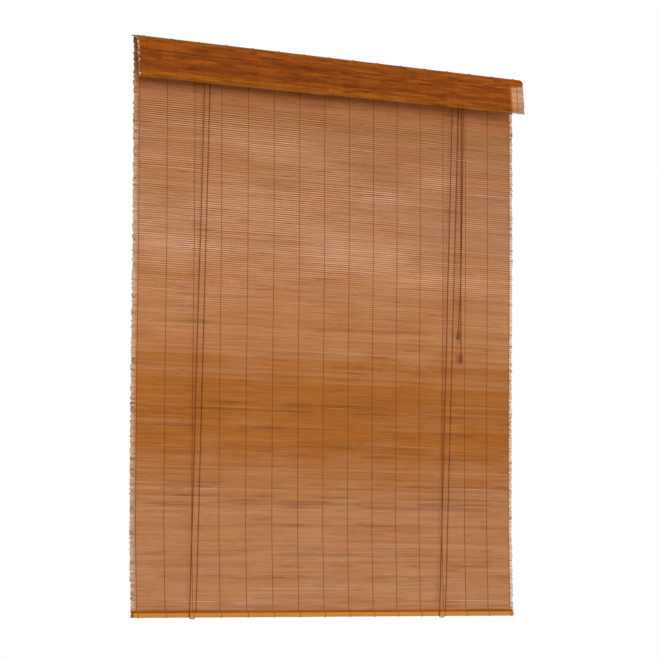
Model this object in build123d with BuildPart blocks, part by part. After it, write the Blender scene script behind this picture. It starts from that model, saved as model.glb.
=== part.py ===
from build123d import *
import os
from math import ceil, cos, pi, radians, sin, tan

os.makedirs("parts", exist_ok=True)

# Bamboo roll up blind, in millimetres. X runs to the right, +Y away from the viewer, Z up.
# The origin is the middle of the two ceiling screw holes, on the top face of the headrail.

# Overall sizes
blind_width = 1400.0
blind_drop = 1608.0
cord_d = 3.0
run_gap = 0.3
cord_gap = 0.35

# Headrail
headrail_length = 1380.0
headrail_depth = 22.0
headrail_height = 25.0
headrail_round = 12.0
ceiling_hole_d = 5.0
ceiling_hole_spacing = 1200.0

# Reeds of the mat and of the valance
reed_pitch = 6.0
reed_thickness = 1.6
groove_width = 0.8
groove_depth = 0.35
slot_height = 1.0
reeds_per_slot = 3
mat_end_gap = 2.0

# Warp threads, evenly spaced but for the middle ones, which have drifted to the right
thread_count = 16
thread_left_margin = 22.0
thread_right_margin = 15.0
thread_drift = 20.0
thread_width = 1.2
thread_depth = 0.6

# Valance
valance_overhang = 12.0
valance_drop = 118.0
valance_bend = 20.0
valance_flare = 5.0
valance_flat = 15.0
valance_clearance_d = 9.0
valance_slot_zone = 70.0

# Staples
staple_width = 10.0
staple_wire = 0.8
staple_leg = 7.0
staple_every = 2
mat_staple_z = -12.0

# Bottom laths and the tacks that hold them to the mat
front_lath_length = 1388.0
front_lath_height = 13.0
front_lath_depth = 4.0
back_lath_length = 1392.0
back_lath_height = 20.0
back_lath_depth = 4.0
lath_round = 1.2
tack_d = 1.6
tack_head_d = 4.0
tack_head_height = 0.8
tack_bite = 2.5
tack_count = 5
tack_margin = 60.0
tack_height = 9.0
tack_gap_length = 4.0
tack_gap_height = 2.0

# Pulleys and cord lock
axle_d = 3.0
axle_clearance = 0.05
axle_head_d = 5.0
axle_head_height = 1.0
axle_drop = 17.0
turn_r = 8.5
sheave_rim = 1.1
sheave_width = 7.0
groove_side = 0.4
groove_flare = 0.5
sheave_hub_d = 7.0
bracket_wall = 1.5
bracket_plate = 2.0
bracket_flange = 13.0
bracket_skirt = 12.0
bracket_below_axle = 7.0
bracket_screw_d = 3.5
bracket_screw_length = 16.0
bracket_screw_head_d = 6.6
bracket_screw_inset = 5.5
lock_below_cam = 8.0
cam_hub_r = 4.0
cam_nose_r = 1.5
cam_reach = 9.6
cam_drop = 16.0
cam_back = 4.5

# Eyes that the lift cords are tied to
eye_ring_r = 4.0
eye_wire_d = 2.2
eye_shank_grip = 9.0
eye_stand_off = 0.8
eye_height = -12.0
eye_hole_d = 3.2
knot_loop_r = 4.2
knot_d = 7.0

# Cord planes and the places of the cord legs
left_plane_y = -5.0
right_plane_y = 4.0
left_leg_top_x = -463.0
left_leg_bottom_x = -505.0
left_back_top_x = -432.0
left_back_bottom_x = -479.0
right_leg_top_x = 458.0
right_leg_bottom_x = 403.0
right_back_top_x = 488.0
right_back_bottom_x = 430.0
pull_x = 492.0
loop_bend = 4.5
loop_drop = 1.3
leg_end_above = 8.0

# Tassels
tassel_height = 24.0
tassel_top_d = 6.5
tassel_bore_clearance = 0.25
tassel_wall = 1.8
tassel_cavity = 14.0
tassel_knot_d = 6.4
upper_tassel_d = 13.0
lower_tassel_d = 11.5
upper_pull_points = [(482.0, -5.0, -610.0), (470.0, -5.4, -738.0), (470.0, -5.4, -778.0)]
lower_pull_points = [(484.0, 1.5, -610.0), (484.6, 1.0, -806.0), (484.6, 1.0, -846.0)]

# Places worked out from the sizes
mat_front = headrail_depth / 2
mat_back = mat_front + reed_thickness
mat_bottom = -blind_drop + mat_end_gap
mat_reeds = int(-mat_bottom / reed_pitch)
cord_r = cord_d / 2
axle_z = -headrail_height - axle_drop
sheave_root_r = turn_r - cord_r - run_gap
sheave_r = turn_r + sheave_rim
left_axle_x = left_leg_top_x + turn_r
right_axle_x = right_leg_top_x + turn_r
roller_axle_x = pull_x - turn_r
cam_axle_x = roller_axle_x - cam_back
cam_axle_z = axle_z - cam_drop
sheave_slot = sheave_width / 2 + run_gap
left_front_y = left_plane_y - sheave_slot
left_back_y = left_plane_y + sheave_slot
lock_front_y = left_front_y
lock_back_y = right_plane_y + sheave_slot
lock_roller_width = lock_back_y - lock_front_y - 2 * run_gap
thread_left_x = -blind_width / 2 + thread_left_margin
thread_right_x = blind_width / 2 - thread_right_margin
thread_shares = [i / (thread_count - 1) for i in range(thread_count)]
thread_places = [
    thread_left_x + (thread_right_x - thread_left_x) * share + 4 * thread_drift * share * (1 - share)
    for share in thread_shares
]
slot_start_x = thread_left_x + thread_width
slot_end_x = thread_right_x - thread_width
front_lath_face = mat_front - front_lath_depth
back_lath_face = mat_back + back_lath_depth
front_leg_y = front_lath_face - cord_r - cord_gap
back_leg_y = back_lath_face + cord_r + cord_gap
leg_end_z = -blind_drop + leg_end_above
eye_ring_y = mat_back + eye_stand_off + eye_ring_r + eye_wire_d / 2
knot_z = eye_height - eye_ring_r - knot_loop_r - knot_d / 2
knot_flat_z = knot_z - (knot_d / 2) * 0.9


def spread(length, margin, count):
    """Gives evenly spaced places along a length centred on zero."""
    step = (length - 2 * margin) / (count - 1)
    return [-length / 2 + margin + step * i for i in range(count)]


def write(part, name):
    """Labels a finished piece and writes its file."""
    part.label = name
    export_step(part, f"parts/{name}.step")


def straight_place(s):
    """Gives the point and the outward direction at a length down the hanging mat."""
    return (mat_front + mat_back) / 2, -s, -1.0, 0.0


def valance_place(s):
    """Gives the point and the outward direction at a length along the valance.

    The sheet lies flat on the headrail from its back edge, bends forward over the
    front edge and hangs with a slight flare.
    """
    bend_start = headrail_depth / 2 - valance_flat
    centre_z = reed_thickness / 2 - valance_bend
    bend_length = valance_bend * radians(90.0 - valance_flare)
    if s <= valance_flat:
        return headrail_depth / 2 - s, reed_thickness / 2, 0.0, 1.0
    turn = min(s - valance_flat, bend_length) / valance_bend
    y = bend_start - valance_bend * sin(turn)
    z = centre_z + valance_bend * cos(turn)
    rest = max(0.0, s - valance_flat - bend_length)
    y -= rest * cos(turn)
    z -= rest * sin(turn)
    return y, z, -sin(turn), cos(turn)


def reed_outline(place, start, count):
    """Gives the outline of a row of reeds, with a groove between each two on both faces."""
    half = reed_thickness / 2
    sides = []
    for side in (half, -half):
        points = []
        for i in range(count):
            top = start + i * reed_pitch
            steps = [(top, side), (top + reed_pitch - groove_width, side)]
            if i < count - 1:
                steps.append((top + reed_pitch - groove_width / 2, side * (1 - groove_depth / half)))
            for s, reach in steps:
                y, z, out_y, out_z = place(s)
                points.append((y + out_y * reach, z + out_z * reach))
        sides.append(points)
    return sides[0] + sides[1][::-1]


def groove_length(i):
    """Gives the length along the sheet at which the groove below reed i lies."""
    return (i + 1) * reed_pitch - groove_width / 2


# Headrail: a planed batten whose top front edge is rounded for the valance
with BuildPart() as headrail:
    with BuildSketch(Plane.YZ) as rail_section:
        with Locations((0, -headrail_height / 2)):
            Rectangle(headrail_depth, headrail_height)
        fillet(rail_section.vertices().group_by(Axis.Y)[-1].sort_by(Axis.X)[0], headrail_round)
    extrude(amount=headrail_length / 2, both=True)
    with Locations(Plane.XY):
        with GridLocations(ceiling_hole_spacing, 0, 2, 1):
            Hole(ceiling_hole_d / 2)
write(headrail.part, "headrail")

# Mat: one wall of flat reeds, open between the outer threads at every third groove
with BuildPart() as mat:
    with BuildSketch(Plane.YZ) as mat_section:
        with BuildLine():
            Polyline(reed_outline(straight_place, 0.0, mat_reeds), close=True)
        make_face()
    extrude(amount=blind_width / 2, both=True)
    slot_rows = range(reeds_per_slot - 1 + ceil(headrail_height / reed_pitch), mat_reeds - 4, reeds_per_slot)
    slot_middle = (slot_start_x + slot_end_x) / 2
    with BuildSketch(Plane.XZ.offset(-mat_back)) as mat_slots:
        with Locations([(slot_middle, -groove_length(i)) for i in slot_rows]):
            Rectangle(slot_end_x - slot_start_x, slot_height)
    extrude(amount=reed_thickness, mode=Mode.SUBTRACT)
    tack_x = spread(front_lath_length, tack_margin, tack_count)
    with BuildSketch(Plane.XZ.offset(-mat_back)) as mat_holes:
        with Locations((left_back_top_x, eye_height), (right_back_top_x, eye_height)):
            Circle(eye_hole_d / 2)
        with Locations([(x, -blind_drop + tack_height) for x in tack_x]):
            Rectangle(tack_gap_length, tack_gap_height)
    extrude(amount=reed_thickness, mode=Mode.SUBTRACT)
write(mat.part, "mat")

# Warp threads of the mat: a front run below the headrail and a back run, both ending at the laths
with BuildPart() as mat_threads:
    front_top = -headrail_height - run_gap
    front_end = -blind_drop + front_lath_height + run_gap
    back_end = -blind_drop + back_lath_height + run_gap
    with BuildSketch(Plane.XZ.offset(-mat_front)) as front_threads:
        with Locations([(x, (front_top + front_end) / 2) for x in thread_places]):
            Rectangle(thread_width, front_top - front_end)
    extrude(amount=thread_depth)
    with BuildSketch(Plane.XZ.offset(-mat_back)) as back_threads:
        with Locations([(x, back_end / 2) for x in thread_places]):
            Rectangle(thread_width, -back_end)
    extrude(amount=-thread_depth)
write(mat_threads.part, "mat_threads")

# Valance: the same reeds laid over the headrail and hanging in front of it
valance_bend_length = valance_bend * radians(90.0 - valance_flare)
valance_hang = (valance_drop + reed_thickness / 2 - valance_bend * (1 - sin(radians(valance_flare))))
valance_length = valance_flat + valance_bend_length + valance_hang / cos(radians(valance_flare))
valance_reeds = int(valance_length / reed_pitch)
valance_width = blind_width + 2 * valance_overhang
with BuildPart() as valance:
    with BuildSketch(Plane.YZ) as valance_section:
        with BuildLine():
            Polyline(reed_outline(valance_place, 0.0, valance_reeds), close=True)
        make_face()
    extrude(amount=valance_width / 2, both=True)
    first_slot = ceil((valance_length - valance_slot_zone) / reed_pitch)
    slot_z = [valance_place(groove_length(i))[1] for i in range(first_slot, valance_reeds - 1)]
    with BuildSketch(Plane.XZ.offset(headrail_depth / 2)) as valance_slots:
        with Locations([(slot_middle, z) for z in slot_z]):
            Rectangle(slot_end_x - slot_start_x, slot_height)
    extrude(amount=2 * valance_bend + reed_thickness, mode=Mode.SUBTRACT)
    with BuildSketch(Plane.XY) as valance_holes:
        with GridLocations(ceiling_hole_spacing, 0, 2, 1):
            Circle(valance_clearance_d / 2)
    extrude(amount=reed_thickness, mode=Mode.SUBTRACT)
write(valance.part, "valance")

# Warp threads of the valance, laid along its outer face
with BuildPart() as valance_threads:
    valance_end = valance_reeds * reed_pitch - groove_width
    thread_stops = [0.0, valance_flat, valance_flat + valance_bend_length / 2]
    thread_stops += [valance_flat + valance_bend_length, valance_end]
    near_edge = []
    far_edge = []
    for s in thread_stops:
        y, z, out_y, out_z = valance_place(s)
        near = reed_thickness / 2
        far = near + thread_depth
        near_edge.append((y + out_y * near, z + out_z * near))
        far_edge.append((y + out_y * far, z + out_z * far))
    for x in thread_places:
        with BuildSketch(Plane.YZ.offset(x)):
            with BuildLine():
                for edge in (near_edge, far_edge):
                    Line(edge[0], edge[1])
                    ThreePointArc(edge[1], edge[2], edge[3])
                    Line(edge[3], edge[4])
                Line(near_edge[0], far_edge[0])
                Line(near_edge[4], far_edge[4])
            make_face()
        extrude(amount=thread_width / 2, both=True)
write(valance_threads.part, "valance_threads")


def staple_sketch():
    """Draws a staple seen from the front, with its crown's top edge on the local X axis."""
    with Locations((0, -staple_wire / 2)):
        Rectangle(staple_width, staple_wire)
    leg_middle = -(staple_wire + reed_thickness + staple_leg) / 2
    leg_x = (staple_width - staple_wire) / 2
    with Locations((-leg_x, leg_middle), (leg_x, leg_middle)):
        Rectangle(staple_wire, staple_wire + reed_thickness + staple_leg)


# Staples that hold the mat to the back of the headrail
thread_pairs = list(zip(thread_places, thread_places[1:]))
staple_places = [(before + after) / 2 for before, after in thread_pairs[::staple_every]]
with BuildPart() as mat_staples:
    for x in staple_places:
        staple_plane = Plane(
            origin=(x, mat_back + staple_wire, mat_staple_z), x_dir=(1, 0, 0), z_dir=(0, 0, 1)
        )
        with BuildSketch(staple_plane):
            staple_sketch()
        extrude(amount=staple_wire / 2, both=True)
write(mat_staples.part, "mat_staples")

# Staples that hold the valance to the top of the headrail
with BuildPart() as valance_staples:
    for x in staple_places:
        staple_plane = Plane(
            origin=(x, headrail_depth / 4, reed_thickness + staple_wire),
            x_dir=(1, 0, 0),
            z_dir=(0, -1, 0),
        )
        with BuildSketch(staple_plane):
            staple_sketch()
        extrude(amount=staple_wire / 2, both=True)
write(valance_staples.part, "valance_staples")


def bracket(start_x, end_x, front_y, back_y, axles, skirt_z):
    """Makes a folded bracket: a top plate with two screw flanges and two cheeks."""
    middle_x = (start_x + end_x) / 2
    middle_y = (front_y + back_y) / 2
    outer_width = back_y - front_y + 2 * bracket_wall
    full_length = end_x - start_x + 2 * bracket_flange
    with BuildPart() as body:
        with BuildSketch(Plane.XY.offset(-headrail_height)):
            with Locations((middle_x, middle_y)):
                RectangleRounded(full_length, outer_width, 2.0)
        extrude(amount=-bracket_plate)
        for y in (front_y - bracket_wall, back_y):
            with BuildSketch(Plane.XZ.offset(-y)) as cheek:
                with Locations((middle_x, (skirt_z - headrail_height) / 2)):
                    Rectangle(end_x - start_x, -headrail_height - skirt_z)
                chamfer(cheek.vertices().group_by(Axis.Y)[0], 4.0)
                with Locations(axles):
                    Circle(axle_d / 2, mode=Mode.SUBTRACT)
            extrude(amount=-bracket_wall)
        flange_x = full_length / 2 - bracket_screw_inset
        screw_face = Plane(
            origin=(middle_x, middle_y, -headrail_height - bracket_plate), z_dir=(0, 0, -1)
        )
        with Locations(screw_face):
            with GridLocations(2 * flange_x, 0, 2, 1):
                CounterSinkHole(bracket_screw_d / 2, bracket_screw_head_d / 2, bracket_plate)
    return body.part, [(middle_x - flange_x, middle_y), (middle_x + flange_x, middle_y)]


def bracket_screws(places):
    """Makes the countersunk wood screws of a bracket."""
    head_r = bracket_screw_head_d / 2
    shank_r = bracket_screw_d / 2
    base_z = -headrail_height - bracket_plate
    neck_z = base_z + head_r - shank_r
    tip_z = base_z + bracket_screw_length
    with BuildPart() as screws:
        for x, y in places:
            with BuildSketch(Plane(origin=(x, y, 0), x_dir=(1, 0, 0), z_dir=(0, -1, 0))):
                with BuildLine():
                    Polyline(
                        (0, base_z),
                        (head_r, base_z),
                        (shank_r, neck_z),
                        (shank_r, tip_z - shank_r * 2),
                        (0, tip_z),
                        close=True,
                    )
                make_face()
            revolve(axis=Axis((x, y, 0), (0, 0, 1)))
    return screws.part


def axle(x, z, front_y, back_y):
    """Makes a riveted axle that runs through both cheeks."""
    with BuildPart() as body:
        with BuildSketch(Plane.XZ.offset(-(back_y + bracket_wall))):
            with Locations((x, z)):
                Circle(axle_d / 2)
        extrude(amount=back_y - front_y + 2 * bracket_wall)
        for face_y, out in ((back_y + bracket_wall, -1), (front_y - bracket_wall, 1)):
            with BuildSketch(Plane.XZ.offset(-face_y)):
                with Locations((x, z)):
                    Circle(axle_head_d / 2)
            extrude(amount=out * axle_head_height)
    return body.part


def sheave(x, middle_y, front_y, back_y):
    """Makes a grooved wheel with a hub that fills the space between the cheeks."""
    half = sheave_width / 2
    root_half = cord_r + groove_side
    rim_half = root_half + groove_flare
    with BuildPart() as body:
        with BuildSketch(Plane.XZ.offset(-(front_y + run_gap))):
            with Locations((x, axle_z)):
                Circle(sheave_hub_d / 2)
        extrude(amount=-(back_y - front_y - 2 * run_gap))
        with BuildSketch(Plane(origin=(x, middle_y, axle_z), x_dir=(1, 0, 0), z_dir=(0, 0, 1))):
            with BuildLine():
                Polyline(
                    (0, -half),
                    (sheave_r, -half),
                    (sheave_r, -rim_half),
                    (sheave_root_r, -root_half),
                    (sheave_root_r, root_half),
                    (sheave_r, rim_half),
                    (sheave_r, half),
                    (0, half),
                    close=True,
                )
            make_face()
        revolve(axis=Axis((x, middle_y, axle_z), (0, 1, 0)))
        with BuildSketch(Plane.XZ.offset(-front_y)):
            with Locations((x, axle_z)):
                Circle(axle_d / 2 + axle_clearance)
        extrude(amount=-(back_y - front_y), mode=Mode.SUBTRACT)
    return body.part


# Left pulley
left_start_x = left_axle_x - bracket_skirt
left_end_x = left_axle_x + bracket_skirt
skirt_z = axle_z - bracket_below_axle
left_pulley_housing, left_screw_places = bracket(
    left_start_x, left_end_x, left_front_y, left_back_y, [(left_axle_x, axle_z)], skirt_z
)
write(left_pulley_housing, "left_pulley_housing")
left_pulley_screws = bracket_screws(left_screw_places)
write(left_pulley_screws, "left_pulley_screws")
left_pulley_axle = axle(left_axle_x, axle_z, left_front_y, left_back_y)
write(left_pulley_axle, "left_pulley_axle")
left_sheave = sheave(left_axle_x, left_plane_y, left_front_y, left_back_y)
write(left_sheave, "left_sheave")

# Cord lock: the right sheave, the roller both pull cords turn down over, and the gripping cam
lock_start_x = right_axle_x - bracket_skirt
lock_end_x = pull_x + cord_r + 4.5
lock_axles = [(right_axle_x, axle_z), (roller_axle_x, axle_z), (cam_axle_x, cam_axle_z)]
lock_housing, lock_screw_places = bracket(
    lock_start_x, lock_end_x, lock_front_y, lock_back_y, lock_axles, cam_axle_z - lock_below_cam
)
write(lock_housing, "lock_housing")
lock_screws = bracket_screws(lock_screw_places)
write(lock_screws, "lock_screws")
right_sheave_axle = axle(right_axle_x, axle_z, lock_front_y, lock_back_y)
write(right_sheave_axle, "right_sheave_axle")
right_sheave = sheave(right_axle_x, right_plane_y, lock_front_y, lock_back_y)
write(right_sheave, "right_sheave")
lock_roller_axle = axle(roller_axle_x, axle_z, lock_front_y, lock_back_y)
write(lock_roller_axle, "lock_roller_axle")

# Lock roller: a plain brass roller under both cords
with BuildPart() as lock_roller:
    with BuildSketch(Plane.XZ.offset(-(lock_front_y + run_gap))):
        with Locations((roller_axle_x, axle_z)):
            Circle(sheave_root_r)
            Circle(axle_d / 2 + axle_clearance, mode=Mode.SUBTRACT)
    extrude(amount=-lock_roller_width)
    chamfer(lock_roller.edges().filter_by(GeomType.CIRCLE).group_by(SortBy.RADIUS)[-1], 0.5)
write(lock_roller.part, "lock_roller")

# Lock cam: hangs by its hub with the nose down, and grips the cords when it swings up to them
with BuildPart() as lock_cam:
    with BuildSketch(Plane.XZ.offset(-(lock_front_y + run_gap))):
        with Locations((cam_axle_x, cam_axle_z)):
            Circle(cam_hub_r)
        with Locations((cam_axle_x, cam_axle_z - cam_reach)):
            Circle(cam_nose_r)
        make_hull()
        with Locations((cam_axle_x, cam_axle_z)):
            Circle(axle_d / 2 + axle_clearance, mode=Mode.SUBTRACT)
    extrude(amount=-lock_roller_width)
write(lock_cam.part, "lock_cam")
lock_cam_axle = axle(cam_axle_x, cam_axle_z, lock_front_y, lock_back_y)
write(lock_cam_axle, "lock_cam_axle")


def anchor_eye(x):
    """Makes a screw eye that goes through the mat into the back of the headrail."""
    wire_r = eye_wire_d / 2
    shank_start = mat_front - eye_shank_grip
    with BuildPart() as body:
        with BuildSketch(Plane(origin=(x, eye_ring_y, eye_height), x_dir=(0, 1, 0), z_dir=(0, 0, 1))):
            with Locations((eye_ring_r, 0)):
                Circle(wire_r)
        revolve(axis=Axis((x, eye_ring_y, eye_height), (1, 0, 0)))
        with BuildSketch(Plane.XZ.offset(-shank_start)):
            with Locations((x, eye_height)):
                Circle(wire_r)
        extrude(amount=-(eye_ring_y - eye_ring_r - shank_start))
    return body.part


def anchor_knot(x):
    """Makes the tied end of a lift cord: a loop through the eye and the knot below it."""
    loop_z = eye_height - eye_ring_r
    with BuildPart() as body:
        with BuildSketch(Plane(origin=(x, eye_ring_y, loop_z), x_dir=(1, 0, 0), z_dir=(0, 0, 1))):
            with Locations((knot_loop_r, 0)):
                Circle(cord_r)
        revolve(axis=Axis((x, eye_ring_y, loop_z), (0, 1, 0)))
        with Locations((x, eye_ring_y, knot_z)):
            Sphere(knot_d / 2)
        split(bisect_by=Plane.XY.offset(knot_flat_z), keep=Keep.TOP)
    return body.part


def lift_leg(top, bottom):
    """Makes one straight leg of a lift cord, with level ends."""
    direction = Vector(*bottom) - Vector(*top)
    with BuildPart() as body:
        with BuildSketch(Plane(origin=top, z_dir=(0, 0, -1))):
            Circle(cord_r)
        extrude(amount=direction.length, dir=direction.normalized())
    return body.part


def head_cord(plane_y, axle_x):
    """Makes the stretch of a cord that runs over its sheave and turns down over the roller."""
    with BuildPart() as body:
        with BuildLine(Plane.XZ.offset(-plane_y)) as route:
            ThreePointArc(
                (axle_x - turn_r, axle_z),
                (axle_x - turn_r * cos(pi / 4), axle_z + turn_r * sin(pi / 4)),
                (axle_x, axle_z + turn_r),
            )
            Line((axle_x, axle_z + turn_r), (roller_axle_x, axle_z + turn_r))
            ThreePointArc(
                (roller_axle_x, axle_z + turn_r),
                (roller_axle_x + turn_r * cos(pi / 4), axle_z + turn_r * sin(pi / 4)),
                (pull_x, axle_z),
            )
        with BuildSketch(Plane(origin=route.line @ 0, z_dir=route.line % 0)):
            Circle(cord_r)
        sweep()
    return body.part


def rounded_cord(points, radii):
    """Makes a cord along straight runs joined by arcs of the given radii."""
    with BuildPart() as body:
        with BuildLine() as route:
            FilletPolyline(*points, radius=radii)
        with BuildSketch(Plane(origin=route.line @ 0, z_dir=route.line % 0)):
            Circle(cord_r)
        sweep()
    return body.part


def cord_loop(front_x, back_x):
    """Makes the short stretch of a lift cord that passes under the bottom laths."""
    under_z = -blind_drop - cord_r - loop_drop
    points = [
        (front_x, front_leg_y, leg_end_z),
        (front_x, front_leg_y, under_z),
        (back_x, back_leg_y, under_z),
        (back_x, back_leg_y, leg_end_z),
    ]
    return rounded_cord(points, loop_bend)


# Lift cords, from the left pair to the right pair
lift_cords = {
    "left": (left_plane_y, left_axle_x, left_leg_bottom_x, left_back_top_x, left_back_bottom_x),
    "right": (right_plane_y, right_axle_x, right_leg_bottom_x, right_back_top_x, right_back_bottom_x),
}
for side, (plane_y, axle_x, front_x, back_top_x, back_x) in lift_cords.items():
    write(anchor_eye(back_top_x), f"{side}_anchor_eye")
    write(anchor_knot(back_top_x), f"{side}_anchor_knot")
    front_top = (axle_x - turn_r, plane_y, axle_z)
    write(lift_leg(front_top, (front_x, front_leg_y, leg_end_z)), f"{side}_front_cord")
    back_top = (back_top_x, eye_ring_y, knot_flat_z)
    write(lift_leg(back_top, (back_x, back_leg_y, leg_end_z)), f"{side}_back_cord")
    write(head_cord(plane_y, axle_x), f"{side}_head_cord")
    write(cord_loop(front_x, back_x), f"{side}_cord_loop")


def lath(length, height, front_y, depth):
    """Makes a bottom lath with its long edges eased."""
    with BuildPart() as body:
        with BuildSketch(Plane.YZ) as section:
            with Locations((front_y + depth / 2, -blind_drop + height / 2)):
                Rectangle(depth, height)
            fillet(section.vertices(), lath_round)
        extrude(amount=length / 2, both=True)
    return body.part


# Bottom laths, one on each side of the mat
write(lath(front_lath_length, front_lath_height, front_lath_face, front_lath_depth), "front_lath")
write(lath(back_lath_length, back_lath_height, mat_back, back_lath_depth), "back_lath")

# Tacks driven through the back lath and the mat into the front lath
with BuildPart() as lath_tacks:
    tack_places = [(x, -blind_drop + tack_height) for x in tack_x]
    with BuildSketch(Plane.XZ.offset(-back_lath_face)):
        with Locations(tack_places):
            Circle(tack_d / 2)
    extrude(amount=back_lath_depth + reed_thickness + tack_bite)
    with BuildSketch(Plane.XZ.offset(-back_lath_face)):
        with Locations(tack_places):
            Circle(tack_head_d / 2)
    extrude(amount=-tack_head_height, taper=20)
write(lath_tacks.part, "lath_tacks")


def corner_radii(points):
    """Gives each corner the largest arc that its two runs leave room for."""
    radii = []
    for before, corner, after in zip(points, points[1:], points[2:]):
        first = Vector(*corner) - Vector(*before)
        second = Vector(*after) - Vector(*corner)
        turn = radians(first.get_angle(second))
        radii.append(0.45 * min(first.length, second.length) / tan(turn / 2))
    return radii


def pull_cord(plane_y, points):
    """Makes a pull cord from the roller down into its tassel."""
    route = [(pull_x, plane_y, axle_z)] + points
    radii = corner_radii(route)
    print("pull cord radii", [round(r) for r in radii])
    return rounded_cord(route, radii)


def tassel(x, y, top_z, base_d):
    """Makes a hollow bell with a bore for the cord and a cavity for its knot."""
    bore_r = cord_r + tassel_bore_clearance
    base_r = base_d / 2
    top_r = tassel_top_d / 2
    cavity_top = top_z - tassel_height + tassel_cavity
    waist = (top_r + (base_r - top_r) * 0.55, top_z - tassel_height * 0.5)
    with BuildPart() as body:
        with BuildSketch(Plane(origin=(x, y, 0), x_dir=(1, 0, 0), z_dir=(0, -1, 0))):
            with BuildLine():
                Line((bore_r, top_z), (top_r, top_z))
                ThreePointArc((top_r, top_z), waist, (base_r, top_z - tassel_height))
                Polyline(
                    (base_r, top_z - tassel_height),
                    (base_r - tassel_wall, top_z - tassel_height),
                    (base_r - tassel_wall - 0.8, cavity_top),
                    (bore_r, cavity_top),
                    (bore_r, top_z),
                )
            make_face()
        revolve(axis=Axis((x, y, 0), (0, 0, 1)))
    return body.part


def tassel_knot(x, y, cord_end_z):
    """Makes the knot at the end of a pull cord, with a flat top against the cord."""
    radius = tassel_knot_d / 2
    with BuildPart() as body:
        with Locations((x, y, cord_end_z - radius * 0.85)):
            Sphere(radius)
        split(bisect_by=Plane.XY.offset(cord_end_z), keep=Keep.BOTTOM)
    return body.part


# Pull cords and tassels: the left lift cord ends in the upper tassel, the right in the lower
pulls = {
    "upper": (left_plane_y, upper_pull_points, upper_tassel_d),
    "lower": (right_plane_y, lower_pull_points, lower_tassel_d),
}
for name, (plane_y, points, base_d) in pulls.items():
    end_x, end_y, end_z = points[-1]
    top_z = end_z + tassel_height - tassel_cavity + 0.6
    write(pull_cord(plane_y, points), f"{name}_pull_cord")
    write(tassel(end_x, end_y, top_z, base_d), f"{name}_tassel")
    write(tassel_knot(end_x, end_y, end_z), f"{name}_tassel_knot")
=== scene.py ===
from math import cos, pi, radians, sin

import bpy
import numpy as np
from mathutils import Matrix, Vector


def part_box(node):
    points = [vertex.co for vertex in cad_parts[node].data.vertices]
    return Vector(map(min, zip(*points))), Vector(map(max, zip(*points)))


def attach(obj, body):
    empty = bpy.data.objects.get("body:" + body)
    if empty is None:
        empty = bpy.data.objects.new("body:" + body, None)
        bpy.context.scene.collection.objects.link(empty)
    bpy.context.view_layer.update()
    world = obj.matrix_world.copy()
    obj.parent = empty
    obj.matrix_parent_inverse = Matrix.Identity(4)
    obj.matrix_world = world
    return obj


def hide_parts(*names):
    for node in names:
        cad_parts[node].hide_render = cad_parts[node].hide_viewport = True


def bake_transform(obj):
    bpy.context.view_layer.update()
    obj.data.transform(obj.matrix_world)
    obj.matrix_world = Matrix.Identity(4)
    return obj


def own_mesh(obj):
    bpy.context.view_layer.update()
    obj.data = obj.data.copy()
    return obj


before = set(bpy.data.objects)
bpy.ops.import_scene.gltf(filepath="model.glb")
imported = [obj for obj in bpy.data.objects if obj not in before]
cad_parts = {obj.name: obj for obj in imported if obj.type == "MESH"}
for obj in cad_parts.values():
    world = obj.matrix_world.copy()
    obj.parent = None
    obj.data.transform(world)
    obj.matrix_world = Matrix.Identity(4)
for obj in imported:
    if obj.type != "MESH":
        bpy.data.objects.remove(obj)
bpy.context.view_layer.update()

MM = 0.001
SEED = 4817

# Places read from the frame
mat_low, mat_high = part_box("mat")
valance_low, valance_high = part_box("valance")
rail_low, rail_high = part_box("headrail")
front_lath_low, front_lath_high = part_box("front_lath")
back_lath_low, back_lath_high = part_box("back_lath")

# Sizes of the weave, in metres
REED_PITCH = 6.1 * MM
REED_THICKNESS = 1.25 * MM
REED_BULGE = 0.15 * MM
THREAD_R = 0.85 * MM
THREAD_COUNT = 16
THREAD_LEFT_MARGIN = 22 * MM
THREAD_RIGHT_MARGIN = 15 * MM
THREAD_DRIFT = 20 * MM
CORD_R = 1.5 * MM
CORD_LOBE = 0.16 * MM
CORD_TWIST = 11 * MM
CORD_STEP = 2.2 * MM
CORD_SHADE_HALF = 5 * MM
LEG_POINTS = 40
LEG_WAVER = 0.5 * MM

# How uneven the reeds lie, and how they fray past the outermost threads
PITCH_SPREAD = 0.03
LINE_WAVER = 0.10 * MM
STEADY_ROWS = 4
STREAK_GAP = 0.3 * MM
FRAY_LEFT = 0.25 * MM
FRAY_RIGHT = 1.6 * MM
UNEVEN_LEFT = 4.5 * MM
UNEVEN_RIGHT = 4.0 * MM
THREAD_WAVER = 0.08 * MM
BOTTOM_MARGIN = 1.5 * MM

# Places along a reed: how many between the outermost threads, and those in its two ends
MAT_COLUMNS = 46
VALANCE_COLUMNS = 150
END_START = 3 * MM
END_STRETCH = 6 * MM
END_STRETCH_FAR = 8 * MM

# The valance's section, as the frame holds it
VALANCE_BEND = 20 * MM
VALANCE_FLARE = radians(5)
VALANCE_FLAT = 15 * MM
VALANCE_MID = 0.8 * MM

# The valance's lower edge hangs lower at the left, and its right end past the headrail is open
VALANCE_LEFT_DROP = 4 * MM
VALANCE_RIGHT_RISE = 9 * MM
VALANCE_END_START = 657 * MM
VALANCE_END_RAMP = 6 * MM
VALANCE_DROP_RAMP = 10 * MM
VALANCE_GAP = 0.05 * MM
VALANCE_OPEN_GAPS = (0.2, 0.6)
VALANCE_END_GAPS = (0.1, 0.4)
VALANCE_UNEVEN_LEFT = 4.0 * MM
VALANCE_UNEVEN_RIGHT = 3.0 * MM
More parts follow.
